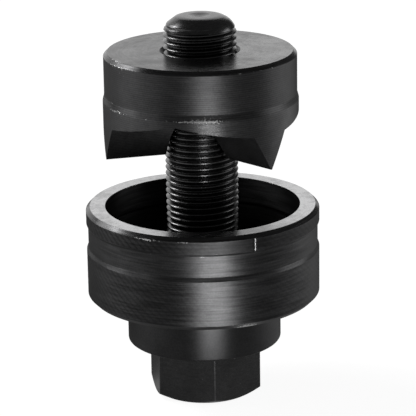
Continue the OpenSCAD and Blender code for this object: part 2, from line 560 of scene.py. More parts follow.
@dataclass(frozen=True)
class BlackenedSteel:
    """Black oxide over turned steel, thin where a face was machined last and rubbed off at the edges.

    Attributes:
        name: Name of the material.
        oxide: Reflection of the black oxide.
        steel: Reflection of bare steel.
        nick: Reflection of freshly chipped steel.
        oxide_roughness: Roughness of the oxide.
        faced_roughness: Roughness of a faced or ground surface.
        stretch: How far tool marks stretch highlights across them.
        pitch: Distance between tool marks.
        breaks: How often the tool marks change on their way round.
        streak: Share by which irregular tool marks vary the reflection.
        ring: Share by which the even turns of the tool vary it.
        mark_height: Height of the tool marks.
        mark_spread: How far the tool marks vary the roughness.
        fine_marks: How many fine marks lie in the distance between two tool marks.
        fine_breaks: How often the fine marks change on their way round.
        fine_height: Height of the fine marks, as a share of that of the tool marks.
        clouds: Size of the clouds in the oxide, and the share by which they vary it.
        blots: Size of the blots on bare steel, and the share by which they vary it.
        specks: Size of the specks on both, and the share by which they vary them.
        speck_octaves: Octaves of finer noise in the specks.
        thinning: Factors between which the clouds thin out the bare steel.
        chip_limit: Value of the specks above which an unworn edge is chipped.
        chip_drop: How far full wear lowers that limit.
        chip_keenness: Steepness of the border of a chip.
        chip_onset: Steepness with which chips set in as the wear grows.
    """

    name: str
    oxide: Colour = (0.055, 0.055, 0.056, 1.0)
    steel: Colour = (0.52, 0.52, 0.525, 1.0)
    nick: Colour = (0.85, 0.85, 0.855, 1.0)
    oxide_roughness: float = 0.4
    faced_roughness: float = 0.26
    stretch: float = 0.5
    pitch: float = 0.5
    breaks: float = 5.0
    streak: float = 0.12
    ring: float = 0.0
    mark_height: float = 0.004
    mark_spread: float = 0.05
    fine_marks: float = 3.0
    fine_breaks: float = 14.0
    fine_height: float = 0.5
    clouds: tuple[float, float] = (7.0, 0.12)
    blots: tuple[float, float] = (1.6, 0.2)
    specks: tuple[float, float] = (0.42, 0.14)
    speck_octaves: float = 3.0
    thinning: tuple[float, float] = (0.65, 1.1)
    chip_limit: float = 0.74
    chip_drop: float = 0.4
    chip_keenness: float = 16.0
    chip_onset: float = 2.5

    def material(self) -> bpy.types.Material:
        """Material that follows the mesh's marks.

        "bare" and "edge" show bare steel, in a few stretches as painted highlights, "painted_shade" darkens
        the oxide as painted shade and "coarse" adds to the roughness.

        Returns:
            The material.
        """
        sheet = NodeSheet(self.name)
        marks = sheet.turning(self.pitch, self.breaks)
        fine = sheet.turning(self.pitch / self.fine_marks, self.fine_breaks)
        clouds = sheet.grain(self.clouds[0])
        specks = sheet.grain(self.specks[0], self.speck_octaves)
        mottle = sheet.vary(specks, self.specks[1])
        # Wear and chips at the edges; two broad chips are painted highlights
        edge = sheet.mark("edge")
        limit = sheet.math("MULTIPLY_ADD", edge, -self.chip_drop, self.chip_limit)
        chips = sheet.math("MULTIPLY", sheet.math("SUBTRACT", specks, limit), self.chip_keenness, clamp=True)
        chipped = sheet.product(chips, sheet.math("MULTIPLY", edge, self.chip_onset, clamp=True))
        thinned = sheet.ramp(clouds, *NARROW, *self.thinning)
        blots = sheet.vary(sheet.grain(self.blots[0]), self.blots[1], NARROW)
        # Bare steel, which in a few marked stretches is a painted highlight or a painted dark reflection
        patchy = sheet.product(sheet.mark("bare"), thinned, mottle, blots)
        bare = sheet.math("MAXIMUM", patchy, chipped, clamp=True)
        # Painted shade: the oxide's tone darkened where the mesh marks it
        unshaded = sheet.math("SUBTRACT", 1.0, sheet.mark("painted_shade"))
        streaks, cloudy = sheet.vary(marks, self.streak), sheet.vary(clouds, self.clouds[1])
        tone = sheet.product(streaks, cloudy, mottle, unshaded)
        if self.ring:
            tone = sheet.math("MULTIPLY_ADD", sheet.rings(self.pitch), self.ring, tone)
        toned = sheet.node("ShaderNodeVectorMath", {0: self.oxide[:3], "Scale": tone}, operation="SCALE")
        colour = sheet.blend(chipped, sheet.blend(bare, toned.outputs[0], self.steel), self.nick)
        spread = sheet.ramp(marks, *WIDEST, -self.mark_spread, self.mark_spread)
        plain = sheet.ramp(bare, 0, Surface.FACED.value, self.oxide_roughness, self.faced_roughness)
        roughness = sheet.math("ADD", sheet.math("ADD", plain, spread), sheet.mark("coarse"), clamp=True)
        relief = sheet.math("MULTIPLY_ADD", fine, self.fine_height, marks)
        rise = self.mark_height * MM
        bump = sheet.node("ShaderNodeBump", {"Height": relief, "Strength": 1.0, "Distance": rise})
        tangent = sheet.node("ShaderNodeTangent", {}, direction_type="RADIAL", axis="Z")
        shader = sheet.node("ShaderNodeBsdfPrincipled", {
            "Base Color": colour,
            "Metallic": 1.0,
            "Roughness": roughness,
            "Anisotropic": self.stretch,
            "Anisotropic Rotation": QUARTER_TURN,
            "Tangent": tangent.outputs[0],
            "Normal": bump.outputs[0],
        })
        return sheet.finish(shader)


@dataclass(frozen=True)
class PlainMetal:
    """Metal with an even grain, for the bearing's inner pieces.

    Attributes:
        name: Name of the material.
        colour: Reflection of the metal.
        roughness: Roughness of the surface.
        grain: Size of the patches that vary it.
        darker: Share of the reflection that the patches keep.
        rougher: What the patches add to the roughness.
    """

    name: str
    colour: Colour
    roughness: float
    grain: float
    darker: float = 0.8
    rougher: float = 0.08

    def material(self) -> bpy.types.Material:
        """Material with patches a little darker and rougher than the rest.

        Returns:
            The material.
        """
        sheet = NodeSheet(self.name)
        patches = sheet.grain(self.grain)
        dark = tuple(self.darker * c for c in self.colour[:3]) + (1.0,)
        shader = sheet.node("ShaderNodeBsdfPrincipled", {
            "Base Color": sheet.blend(sheet.ramp(patches, *NARROW, 0, 1), dark, self.colour),
            "Metallic": 1.0,
            "Roughness": sheet.ramp(patches, *WIDE, self.roughness + self.rougher, self.roughness),
        })
        return sheet.finish(shader)


def seat(piece: bpy.types.Object, finish: BlackenedSteel, body: Body, node: str) -> None:
    """Finish a piece and let it ride on a body in place of a solid.

    Args:
        piece: The piece.
        finish: Its finish.
        body: The body that carries it.
        node: The solid that it stands for.
    """
    piece.data.materials.append(finish.material())
    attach(piece, body.value)
    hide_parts(node)
    log.info("%s: %d faces, rides on %s", piece.name, len(piece.data.polygons), body.value)


@dataclass
class DrawStud:
    """The stud with its hex, rolled thread and domed tip.

    Attributes:
        crest: Radius over the thread's crests.
        pitch: Rise of the right-hand thread in one turn.
        crest_flat: Width of a crest.
        crown: Height by which a crest is rounded.
        crest_break: Width of the break along each edge of a crest.
        break_angle: Slope of that break.
        root_flat: Width of a root.
        flank_angle: Included angle of the thread.
        thread_foot: Height at which the thread starts to run out.
        run_out: Length of that run-out.
        crest_painted_glint: A stretch where the upper break of the crests is brighter, as a painted glint.
        tip_round: Radius round the tip.
        dish_mouth: Radius of the shallow dish in the tip.
        dish_angle: Included angle of that dish.
        flats: Width of the hex across its flats.
        hex_height: Height of the hex.
        hex_corner: Direction of one corner.
        corner_round: Radius along the hex's upright edges.
        chamfer: Width of the chamfer that takes off the hex's lower corners.
        chamfer_angle: Slope of that chamfer.
        rubbed_sheen_angle: Angle round each corner kept brighter: rubbed black and a painted highlight.
        column_angles: Angles of the columns from a corner to the middle of a flat.
        face_shift: Angle added to a face's first column, so that both sides of a corner are rubbed alike.
        end_shares: Places of the rows on the hex's end, as shares of its flat.
        dish_shares: Places of the rows at the dish, as shares of its mouth.
        flank_rows: Grid rows on a flank of the thread.
        chamfer_rows: Grid rows on the hex's chamfer.
        plain_rows: Grid rows from the hex to the thread, with the rows at both ends.
        dome_rows: Grid rows over the dome, with the thread's last row.
    """

    crest: float = 9.45
    pitch: float = 1.5875
    crest_flat: float = 0.2
    crown: float = 0.03
    crest_break: float = 0.1
    break_angle: float = 43.0
    root_flat: float = 0.28
    flank_angle: float = 60.0
    thread_foot: float = 29.0
    run_out: float = 2.0
    crest_painted_glint: Stretch = Stretch(-147.0, 12.0, 0.48)
    tip_round: float = 5.0
    dish_mouth: float = 2.9
    dish_angle: float = 160.0
    flats: float = 27.0
    hex_height: float = 14.3
    hex_corner: float = -80.8
    corner_round: float = 0.35
    chamfer: float = 2.6
    chamfer_angle: float = 30.0
    rubbed_sheen_angle: float = 0.9
    column_angles: tuple[float, ...] = (0.0, 0.33, 0.65, 2.0, 5.0, 9.0, 13.0, 17.0, 21.0, 25.5, 30.0)
    face_shift: float = 0.5
    end_shares: tuple[float, ...] = (0.5, 0.9)
    dish_shares: tuple[float, ...] = (1.04, 1.0, 0.96, 0.5)
    flank_rows: int = 4
    chamfer_rows: int = 4
    plain_rows: int = 6
    dome_rows: int = 6

    SIDES = 6
    SECTOR = 360 / SIDES

    def columns(self) -> np.ndarray:
        """Angles of the columns, from the back on, drawn together at the hex's corners.

        Returns:
            Angles in radians.
        """
        half = np.array(self.column_angles)
        sector = np.concatenate([half, self.SECTOR - half[-2:0:-1]])
        starts = self.hex_corner + 180 + self.SECTOR * np.arange(self.SIDES)
        return np.radians(np.add.outer(starts, sector).ravel())

    def off_corner(self, angle: np.ndarray) -> np.ndarray:
        """Angle between each direction and the nearest corner of the hex, all in degrees."""
        half = self.SECTOR / 2
        return np.abs((angle - self.hex_corner + half) % self.SECTOR - half)

    def hex_radius(self, angle: np.ndarray) -> np.ndarray:
        """Radius of the hex: its flats at f / cos(30 - c), and an arc of radius p round each corner.

        The arc's centre lies (f - p) / cos 30 out along the corner's direction, where f is half the width
        across the flats and c the angle from the nearest corner.

        Args:
            angle: Angles in radians.

        Returns:
            The radius at each angle.
        """
        off = np.radians(self.off_corner(np.degrees(angle)))
        half = math.radians(self.SECTOR / 2)
        arc_radius = self.corner_round
        centre = (self.flats / 2 - arc_radius) / math.cos(half)
        flat = self.flats / 2 / np.cos(half - off)
        arc = centre * np.cos(off) + np.sqrt(np.maximum(arc_radius**2 - (centre * np.sin(off)) ** 2, 0))
        meets = math.atan2(arc_radius * math.sin(half), centre + arc_radius * math.cos(half))
        return np.where(off < meets, arc, flat)

    def thread_rows(self) -> tuple[np.ndarray, np.ndarray]:
        """Profile of one pitch, from the middle of a crest up to the row before the next one.

        A crest is rounded by the square of the distance from its middle. Past its break, which deepens by
        the tangent of its slope, the flank deepens by the distance over the tangent of half its angle.

        Returns:
            Distances up from the crest's middle, and depths below the crest.
        """
        half_crest, half_pitch = self.crest_flat / 2, self.pitch / 2
        corner, foot = half_crest + self.crest_break, half_pitch - self.root_flat / 2
        half = np.array([0, half_crest, *np.linspace(corner, foot, self.flank_rows), half_pitch])
        rounding = self.crown * np.clip(half / half_crest, 0, 1) ** 2
        broken = np.clip(half - half_crest, 0, self.crest_break) * math.tan(math.radians(self.break_angle))
        flank = np.clip(half - corner, 0, foot - corner) / math.tan(math.radians(self.flank_angle / 2))
        depth = rounding + broken + flank
        return np.concatenate([half, self.pitch - half[-2:0:-1]]), np.concatenate([depth, depth[-2:0:-1]])

    def thread(self, angle: np.ndarray, top: float) -> tuple[np.ndarray, np.ndarray, int]:
        """Grid of the thread, whose rows climb by one pitch in a turn.

        It ends where the dome cuts off the thread's root. The dome's radius at a height is that of its flat
        plus sqrt(p^2 - d^2), where p is the radius round the tip and d the height above the dome's foot.

        Args:
            angle: Angles of the columns in radians.
            top: Height of the tip.

        Returns:
            Radius and height of each point, and the number of rows in one turn.
        """
        rise, depth = self.thread_rows()
        dome_foot, flat = top - self.tip_round, self.crest - self.tip_round
        thread_top = dome_foot + math.sqrt(self.tip_round**2 - (self.tip_round - depth.max()) ** 2)
        turns = math.floor((thread_top - self.thread_foot) / self.pitch)
        lift = self.thread_foot + (self.pitch * np.arange(turns + 1)[:, None] + rise).ravel()
        height = lift[:, None] + self.pitch * (angle - angle[0, 0]) / (2 * np.pi)
        run_in = np.clip((height - self.thread_foot) / self.run_out, 0, 1)
        groove = np.tile(depth, turns + 1)[:, None] * run_in
        dome = flat + np.sqrt(self.tip_round**2 - np.clip(height - dome_foot, 0, self.tip_round) ** 2)
        kept = lift < thread_top
        return np.minimum(self.crest - groove, dome)[kept], height[kept], len(rise)

    def build(self) -> bpy.types.Object:
        """One closed surface from the middle of the hex's end to the bottom of the tip's dish.

        Returns:
            The stud.
        """
        top = box_of("draw_stud")[1][2]
        angle = self.columns()[None, :]
        across = np.ones_like(angle)
        hexagon = self.hex_radius(angle)
        end = np.array(self.end_shares)[:, None]
        end_flat = self.flats / math.sqrt(3) - self.chamfer
        slope = math.tan(math.radians(self.chamfer_angle))
        cone = end_flat + (hexagon - end_flat) * np.linspace(0, 1, self.chamfer_rows)[:, None]
        shoulder = np.array([hexagon[0], self.crest * across[0]])
        plain = np.linspace(self.hex_height, self.thread_foot, self.plain_rows)[1:-1, None]
        thread, thread_height, lead = self.thread(angle, top)
        dome_foot = top - self.tip_round
        highest = math.asin((thread_height.max() - dome_foot) / self.tip_round)
        lean = np.linspace(highest, np.pi / 2, self.dome_rows)[1:, None]
        dish_depth = self.dish_mouth / math.tan(math.radians(self.dish_angle / 2))
        dish = np.array(self.dish_shares)[:, None]
        radius = np.concatenate([
            end_flat * end * across,
            cone,
            shoulder,
            self.crest * np.ones_like(plain) * across,
            thread,
            (self.crest - self.tip_round + self.tip_round * np.cos(lean)) * across,
            self.dish_mouth * dish * across,
        ])
        height = np.concatenate([
            np.zeros_like(end) * across,
            (cone - end_flat) * slope,
            self.hex_height * np.ones_like(shoulder),
            plain * across,
            thread_height,
            (dome_foot + self.tip_round * np.sin(lean)) * across,
            (top - dish_depth * np.maximum(1 - dish, 0)) * across,
        ])
        points = revolved(radius, angle, height)
        hex_sides = len(end) + len(cone) - 1
        bare = np.zeros((len(points) - 1, angle.size))
        off = self.off_corner(np.degrees(angle[0]) + self.face_shift)
        # Corners rubbed thin, and brighter as a painted highlight along the hex's edges
        bare[hex_sides, off < self.rubbed_sheen_angle] = Surface.RUBBED_SHEEN.value
        first = len(end) + len(cone) + len(shoulder) + len(plain)
        # Painted glint: brighter steel on the crests' upper break, where they face the left lamps
        bare[first + 1 : first + len(thread) : lead] = self.crest_painted_glint.shares(angle)
        climb = Climb(first, first + len(thread) - 1, lead)
        return lay_mesh("threaded_stud", points, {"bare": bare}, {}, (0.0, top - dish_depth), climb)

    def dress(self, piece: bpy.types.Object) -> None:
        """Give the stud its oiled black finish.

        Args:
            piece: The stud.
        """
        oiled = BlackenedSteel(
            "oiled_black_stud",
            oxide=(0.078, 0.078, 0.079, 1.0),
            oxide_roughness=0.26,
            stretch=0.0,
            mark_height=0.002,
        )
        seat(piece, oiled, Body.STUD, "draw_stud")


@dataclass
class ToothedPunch:
    """The punch: a turned body with a cutting land and three teeth ground from below.

    Attributes:
        bore: Radius of the bore.
        countersink: Width of the countersink at the bore's top.
        body_relief: How far the body stays behind the cutting land.
        top_edge: Width of the chamfer round the top.
        flare_depth: Depth from the top to where the body starts to widen.
        flare_height: Height over which it widens.
        valley_depth: Depth from the top to the highest point of the cutting edge.
        valley_slope: Slope of the cutting edge on each side of it.
        tooth_angle: Included angle of a tooth.
        tooth_flat: Width of the flat along a tooth's ridge.
        teeth: Number of teeth.
        first_tooth: Direction of the first tooth.
        land_coarse: What the cutting land adds to the roughness of the finish.
        land_painted_highlight: A stretch of the cutting land made brighter, as a painted highlight.
        top_dark_stretch: A stretch of the top, to its left, that is darker.
        flank_columns: Grid columns on a tooth's flank.
        roof_columns: Grid columns from a flank to the middle of a valley.
        below_rows: Grid rows across the underside.
        wall_rows: Grid rows up the cutting land, and down the bore.
        chips: Chipped stretches of the edges; the broad one on the front of the cutting land is a painted
            highlight.
    """

    bore: float = 9.5
    countersink: float = 0.9
    body_relief: float = 0.41
    top_edge: float = 1.0
    flare_depth: float = 11.0
    flare_height: float = 1.55
    valley_depth: float = 14.1
    valley_slope: float = 11.4
    tooth_angle: float = 60.0
    tooth_flat: float = 0.3
    teeth: int = 3
    first_tooth: float = -46.0
    land_coarse: float = -0.07
    land_painted_highlight: Stretch = Stretch(-89.0, 9.0, 0.1)
    top_dark_stretch: Stretch = Stretch(187.0, 55.0, 0.09)
    flank_columns: int = 14
    roof_columns: int = 24
    below_rows: int = 22
    wall_rows: int = 8
    chips: tuple[Chip, ...] = (
        Chip(0, Stretch(-93.0, 13.0, 1.1), 0.4),
        # Painted highlight: a broad bright patch on the front of the cutting land
        Chip(0, Stretch(-85.0, 10.0, 0.48), 2.0),
        Chip(0, Stretch(-122.0, 5.0, 0.35)),
        Chip(0, Stretch(-148.0, 10.0, 0.6), 0.7),
        Chip(1, Stretch(-155.0, 9.0, 0.4)),
        Chip(2, Stretch(-150.0, 12.0, 0.4), 0.5),
        Chip(2, Stretch(-60.0, 25.0, 0.35), 0.25),
        Chip(3, Stretch(-152.0, 14.0, 0.45), 0.8),
        Chip(3, Stretch(-45.0, 8.0, 0.4)),
        Chip(9, Stretch(-100.0, 12.0, 0.25)),
    )

    LAND_TOP = 0
    CUTTING_EDGE = 9
    VALLEY = 3

    def __post_init__(self) -> None:
        """Take the punch's radius and levels from its solid, and work out its slopes."""
        low, high = box_of("punch")
        self.land = high[0]
        self.tip = low[2]
        self.top = high[2]
        self.apex = self.top - self.valley_depth
        self.half_pitch = math.pi / self.teeth
        self.steep = 1 / math.tan(math.radians(self.tooth_angle / 2))
        self.fall = math.tan(math.radians(self.valley_slope))

    def column_shares(self) -> np.ndarray:
        """Places of one tooth's columns, up to the middle of the valley and back.

        Returns:
            Places from 0 to 1 on the ridge's flat, to 2 on a flank, to 3 on a roof, and on to 6 likewise.
        """
        flank = 1 + np.linspace(0, 1, self.flank_columns + 1)
        roof = 2 + np.linspace(0, 1, self.roof_columns + 1)
        half = np.concatenate([[0], flank, roof[1:]])
        return np.concatenate([half, 2 * self.VALLEY - half[-2:0:-1]])

    def turn_from_ridge(self, share: np.ndarray, radius: np.ndarray) -> np.ndarray:
        """Angle from the tooth's ridge at a column and a radius.

        The ridge's flat ends at asin(w / 2r). A flank meets the roof where r (A sin d + B cos d) = H, with
        A = 1 / tan(t / 2) - cos(p) tan s, B = sin(p) tan s and H the height from the tip to the apex plus
        w / (2 tan(t / 2)), for a tooth of flat w and angle t, half a pitch p and a roof that slopes by s.

        Args:
            share: Column places on the first half of a tooth, 0 to 3.
            radius: Radii.

        Returns:
            Angles in radians.
        """
        across = self.steep - math.cos(self.half_pitch) * self.fall
        along = math.sin(self.half_pitch) * self.fall
        drop = self.apex - self.tip + self.tooth_flat / 2 * self.steep
        flat_ends = np.arcsin(self.tooth_flat / 2 / radius)
        meets = np.arcsin(drop / radius / math.hypot(across, along)) - math.atan2(along, across)
        on_flank = flat_ends + (share - 1) * (meets - flat_ends)
        on_roof = meets + (share - 2) * (self.half_pitch - meets)
        return np.where(share < 1, share * flat_ends, np.where(share < 2, on_flank, on_roof))

    def underside(self, turn: np.ndarray, radius: np.ndarray) -> np.ndarray:
        """Height of the underside: the lower of flank and roof, and no lower than the tip.

        A flank rises from the ridge by the distance from it over tan(t / 2), and a roof falls from the
        valley's middle by the distance from that times tan s.

        Args:
            turn: Angles from the ridge in radians.
            radius: Radii.

        Returns:
            Heights in millimetres.
        """
        flank = self.tip + (radius * np.sin(turn) - self.tooth_flat / 2) * self.steep
        roof = self.apex - radius * np.sin(self.half_pitch - turn) * self.fall
        return np.maximum(np.minimum(flank, roof), self.tip)

    def build(self) -> bpy.types.Object:
        """One closed surface: underside outwards, land and body upwards, top inwards and bore downwards.

        Returns:
            The punch.
        """
        share = self.column_shares()[None, :]
        mirrored = share > self.VALLEY
        share = np.where(mirrored, 2 * self.VALLEY - share, share)
        body = self.land - self.body_relief
        flare_top = self.top - self.flare_depth
        mouth = self.bore + self.countersink
        upper = turned_outline([
            Corner(self.land, flare_top - self.flare_height),
            Corner(body, flare_top, broken=0.4, rows=2),
            Corner(body, self.top - self.top_edge, broken=0.15, coarse=-0.12),
            Corner(body - self.top_edge, self.top, broken=0.12, leads=Surface.FACED, rows=6),
            Corner(mouth, self.top, broken=0.06),
            Corner(self.bore, self.top - self.countersink),
        ])
        below = np.linspace(self.bore, self.land, self.below_rows)[:, None]
        rising = np.linspace(0, 1, self.wall_rows)[1:-1, None]
        radius = np.concatenate([
            below,
            np.full_like(rising, self.land),
            upper.radius[:, None],
            np.full_like(rising, self.bore),
        ])
        turn = self.turn_from_ridge(share, radius)
        lower = self.underside(turn, radius)
        lip = lower[len(below) - 1]
        height = np.concatenate([
            lower[: len(below)],
            lip + rising * (upper.height[0] - lip),
            upper.height[:, None] * np.ones_like(share),
            upper.height[-1] + rising * (lower[0] - upper.height[-1]),
        ])
        turn = np.where(mirrored, 2 * self.half_pitch - turn, turn)
        starts = np.radians(self.first_tooth) + 2 * self.half_pitch * np.arange(self.teeth)
        angle = (starts[None, :, None] + turn[:, None, :]).reshape(len(radius), -1)
        points = revolved(radius, angle, np.tile(height, self.teeth))
        rows, columns = angle.shape
        bare, coarse = np.zeros((2, rows, columns))
        corner = np.full(rows, -1)
        wall = len(below) - 1
        body_foot = len(below) + len(rising)
        # The land is lapped, and brighter at its front as a painted highlight
        bare[wall:body_foot] = Surface.LAPPED.value + self.land_painted_highlight.shares(angle[wall:body_foot])
        coarse[wall:body_foot] = self.land_coarse
        above = slice(body_foot, body_foot + len(upper.run))
        faced = (upper.bare == Surface.FACED.value)[:, None]
        bare[above] = upper.bare[:, None] - faced * self.top_dark_stretch.shares(angle[above])
        coarse[above] = upper.coarse[:, None]
        corner[above] = upper.corner
        corner[[wall, body_foot]] = [self.CUTTING_EDGE, self.LAND_TOP]
        wear = edge_wear(points, corner, self.chips)
        return lay_mesh("toothed_punch", points, {"bare": bare, "coarse": coarse}, {"edge": wear})

    def dress(self, piece: bpy.types.Object) -> None:
        """Give the punch its turned black finish.

        Args:
            piece: The punch.
        """
        turned = BlackenedSteel("turned_black_punch", pitch=0.52, streak=0.1, ring=0.16)
        seat(piece, turned, Body.PUNCH, "punch")


@dataclass
class CupDie:
    """The die: a cup with two diamond-knurled bands, a smooth groove between them and a ground rim.

    Attributes:
        passage: Radius of the hole for the stud.
        bore: Radius of the cutting land in the cup.
        floor: Thickness of the floor.
        land: Height of the cutting land.
        relief: Depth of the relief below the land.
        rim_chamfer: Width of the chamfer round the rim.
        foot_chamfer: Width of the chamfer round the foot.
        upper_band: Height of the upper knurled band.
        groove: Width of the groove.
        groove_depth: Depth of the groove.
        upper_slope: Height of the slope from the upper band into the groove.
        lower_slope: Height of the slope from the groove to the lower band.
        diamonds: Number of knurl diamonds on the way round.
        diamond_height: Height of one diamond.
        knurl_depths: Depth of the knurl's grooves on the lower and the upper band.
        knurl_wear: The stretches where the knurl is worn down.
        band_painted_shade: Share by which the lower and the upper band are darkened, as painted shade.
        groove_painted_shade: Share by which one hand of their grooves is darkened further, as painted shade.
        cup_painted_shade: Share by which the inside of the cup is darkened, as painted shade.
        foot_painted_highlight: A stretch of the foot's chamfer made bare and bright, as a painted highlight.
        rim_painted_reflection: A stretch at the front of the rim kept darker, as a painted dark reflection.
        mark_direction: Direction of the scribed mark on the upper band.
        mark_width: Width of that mark.
        mark_depth: Depth of that mark.
        chips: Chipped stretches of the edges; the one on the foot's chamfer is a painted highlight.
    """

    passage: float = 10.0
    bore: float = 25.45
    floor: float = 5.9
    land: float = 7.0
    relief: float = 0.7
    rim_chamfer: float = 1.0
    foot_chamfer: float = 1.2
    upper_band: float = 3.25
    groove: float = 5.55
    groove_depth: float = 0.45
    upper_slope: float = 0.6
    lower_slope: float = 1.1
    diamonds: int = 90
    diamond_height: float = 1.7
    knurl_depths: tuple[float, float] = (0.018, 0.026)
    knurl_wear: tuple[Stretch, ...] = (Stretch(-80.0, 36.0, 0.9), Stretch(-20.0, 34.0, 0.45))
    band_painted_shade: tuple[float, float] = (0.04, 0.2)
    groove_painted_shade: tuple[float, float] = (0.42, 0.6)
    cup_painted_shade: float = 0.45
    foot_painted_highlight: Stretch = Stretch(-69.0, 6.0, 0.6)
    rim_painted_reflection: Stretch = Stretch(-63.0, 27.0, 0.6)
    mark_direction: float = -64.8
    mark_width: float = 0.4
    mark_depth: float = 0.1
    chips: tuple[Chip, ...] = (
        Chip(7, Stretch(-118.0, 7.0, 0.7), 0.7),
        Chip(7, Stretch(-99.0, 5.0, 0.7)),
        Chip(6, Stretch(-82.0, 7.0, 0.15), 0.5),
        Chip(3, Stretch(-88.0, 5.0, 0.16), 0.5),
        # Painted highlight on the foot's chamfer
        Chip(1, Stretch(-69.0, 5.0, 1.7), 1.7),
    )

    STEPS_PER_DIAMOND = 6
    FOOT_CHAMFER = 1
    LOWER_BAND = 2
    UPPER_BAND = 6
    RIM = 8

    def __post_init__(self) -> None:
        """Take the die's radius and levels from its solid."""
        low, high = box_of("die")
        self.radius = high[:2].min()
        self.foot = low[2]
        self.top = high[2]

    def outline(self) -> Outline:
        """Section of the die, from the stud's hole outwards, up the outside and down the cup.

        Returns:
            The section's rows.
        """
        step = self.diamond_height / self.STEPS_PER_DIAMOND
        band_foot = self.top - self.rim_chamfer - self.upper_band
        groove_top = band_foot - self.upper_slope
        groove_foot = groove_top - self.groove
        lower_top = groove_foot - self.lower_slope
        lower_foot = self.foot + self.foot_chamfer
        waist = self.radius - self.groove_depth
        wide = self.bore + self.relief
        land_foot = self.top - self.land
        floor = self.foot + self.floor
        lower_rows, upper_rows = round((lower_top - lower_foot) / step), round(self.upper_band / step)
        return turned_outline([
            Corner(self.passage, self.foot, broken=0.2, rows=4),
            Corner(self.radius - self.foot_chamfer, self.foot, broken=0.15),
            Corner(self.radius, lower_foot, broken=0.12, rows=lower_rows),
            Corner(self.radius, lower_top, broken=0.12),
            Corner(waist, groove_foot, broken=0.3, rows=2),
            Corner(waist, groove_top, broken=0.3),
            Corner(self.radius, band_foot, broken=0.1, rows=upper_rows, coarse=0.12),
            Corner(self.radius, self.top - self.rim_chamfer, broken=0.12, coarse=-0.14),
            Corner(self.radius - self.rim_chamfer, self.top, broken=0.1, leads=Surface.GROUND, rows=3),
            Corner(self.bore, self.top, broken=0.05, rows=2),
            Corner(self.bore, land_foot, broken=0.2),
            Corner(wide, land_foot - self.relief, broken=0.2, rows=3),
            Corner(wide, floor, broken=0.8, rows=5),
            Corner(self.passage, floor, broken=0.3),
        ])

    @classmethod
    def knurl(cls, rows: np.ndarray, columns: np.ndarray) -> tuple[np.ndarray, np.ndarray]:
        """Relief of the two hands of the knurl on a grid with six columns and six rows to a diamond.

        The grooves of one hand run where row + column is 3 more than a multiple of 6, and those of the other
        hand where row - column is. Each is a V that ends a quarter of a diamond from its bottom.

        Args:
            rows: Row numbers.
            columns: Column numbers.

        Returns:
            For each hand, shares of the groove's depth, rows by columns.
        """
        middle = cls.STEPS_PER_DIAMOND // 2
        hands = np.add.outer(rows, columns), np.subtract.outer(rows, columns)
        falling, rising = (np.abs(hand % cls.STEPS_PER_DIAMOND - middle) for hand in hands)
        edge = cls.STEPS_PER_DIAMOND / 4
        return np.clip(1 - falling / edge, 0, 1), np.clip(1 - rising / edge, 0, 1)

    def build(self) -> bpy.types.Object:
        """The section turned round the axis, with the knurl and the scribed mark cut into it.

        Returns:
            The die.
        """
        outline = self.outline()
        count = self.diamonds * self.STEPS_PER_DIAMOND
        columns = np.arange(count)
        step = 2 * np.pi / count
        angle = np.radians(self.mark_direction) + step * (columns - count // 2)
        marked = count // 2
        angle[marked - 1] = angle[marked] - self.mark_width / 2 / self.radius
        angle[marked + 1] = angle[marked] + self.mark_width / 2 / self.radius
        sections = (outline.radius, outline.bare, outline.coarse)
        radius, bare, coarse = (np.repeat(values[:, None], count, axis=1) for values in sections)
        # Painted highlight: bare steel on a stretch of the foot's chamfer
        bare[outline.run == self.FOOT_CHAMFER] += self.foot_painted_highlight.shares(angle)
        # Painted dark reflection: less bare steel on the rim's front
        bare[outline.run == self.RIM] -= self.rim_painted_reflection.shares(angle)
        keen = 1 - sum(stretch.shares(angle) for stretch in self.knurl_wear)
        # Painted shade inside the cup
        painted_shade = np.zeros_like(radius)
        painted_shade[outline.run > self.RIM] = self.cup_painted_shade
        # Painted shade on the knurled bands, darker in the grooves of one hand where the knurl is not worn
        for run, depth, dark, darker in zip(
            (self.LOWER_BAND, self.UPPER_BAND), self.knurl_depths, self.band_painted_shade, self.groove_painted_shade
        ):
            knurled = (outline.run == run) & (outline.corner < 0)
            falling, rising = self.knurl(np.flatnonzero(knurled), columns)
            radius[knurled] -= depth * keen * np.maximum(falling, rising)
            painted_shade[knurled] = dark + darker * keen * falling
        scribed = (outline.run == self.UPPER_BAND) | (outline.run == self.UPPER_BAND - 1)
        radius[scribed, marked - 2 : marked + 3] = outline.radius[scribed, None]
        radius[scribed, marked] -= self.mark_depth
        bare[scribed, marked] = Surface.SCRIBED.value
        points = revolved(radius, angle[None, :], outline.height[:, None])
        wear = edge_wear(points, outline.corner, self.chips)
        return lay_mesh("cup_die", points, {"bare": bare, "coarse": coarse}, {"edge": wear, "painted_shade": painted_shade})

    def dress(self, piece: bpy.types.Object) -> None:
        """Give the die its black finish.

        Args:
            piece: The die.
        """
        turned = BlackenedSteel("turned_black_die", oxide_roughness=0.41, pitch=0.5, breaks=3.0, streak=0.38)
        seat(piece, turned, Body.DIE, "die")


